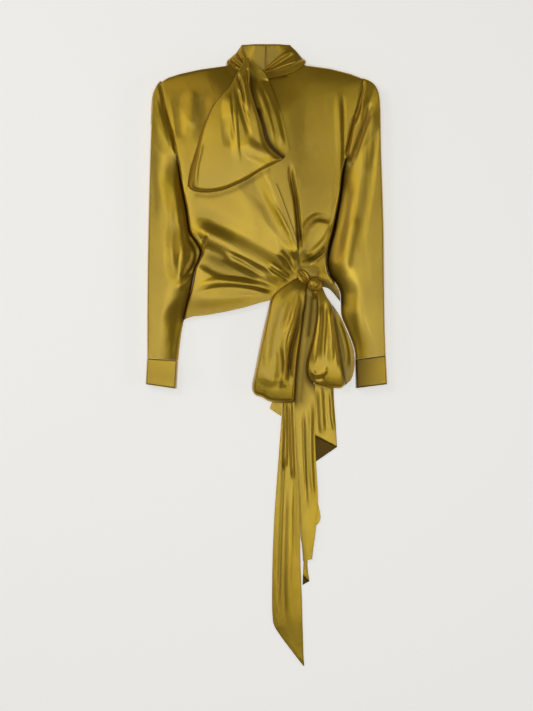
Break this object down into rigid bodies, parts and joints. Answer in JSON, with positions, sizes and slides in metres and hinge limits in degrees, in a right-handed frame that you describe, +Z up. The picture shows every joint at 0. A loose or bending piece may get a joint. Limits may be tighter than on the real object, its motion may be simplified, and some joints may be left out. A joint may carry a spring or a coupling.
{
  "type": "blouse",
  "caption": "Satin wrap blouse laid out flat, with padded shoulders, long sleeves with deep cuffs, a draped half bow at the neck and a tied waist with loops and long ends.",
  "frame": {"origin": "on the plane that the blouse lies on, under the middle of its length and width with the hanging ties counted", "axes": "+Y runs from the ends of the ties towards the collar, +X towards the wearer's left sleeve as it is seen from above, +Z up off the plane"},
  "size_m": [0.482, 1.242, 0.054],
  "materials": {
    "satin": "satin"
  },
  "bodies": {
    "root": {"back": "satin", "front_right": "satin", "front_left": "satin", "sleeve_right": "satin", "sleeve_left": "satin", "cuff_right": "satin", "cuff_left": "satin", "collar_right": "satin", "collar_left": "satin", "scarf_right": "satin", "scarf_left": "satin", "bow_loop": "satin", "waist_loop_right": "satin", "waist_loop_left": "satin", "tie_long": "satin", "tie_middle": "satin", "tie_turned": "satin", "tie_lower": "satin", "tie_under": "satin", "waist_tab": "satin", "waist_end": "satin", "waist_knot": "satin", "waist_wrap": "satin"}
  },
  "joints": []
}
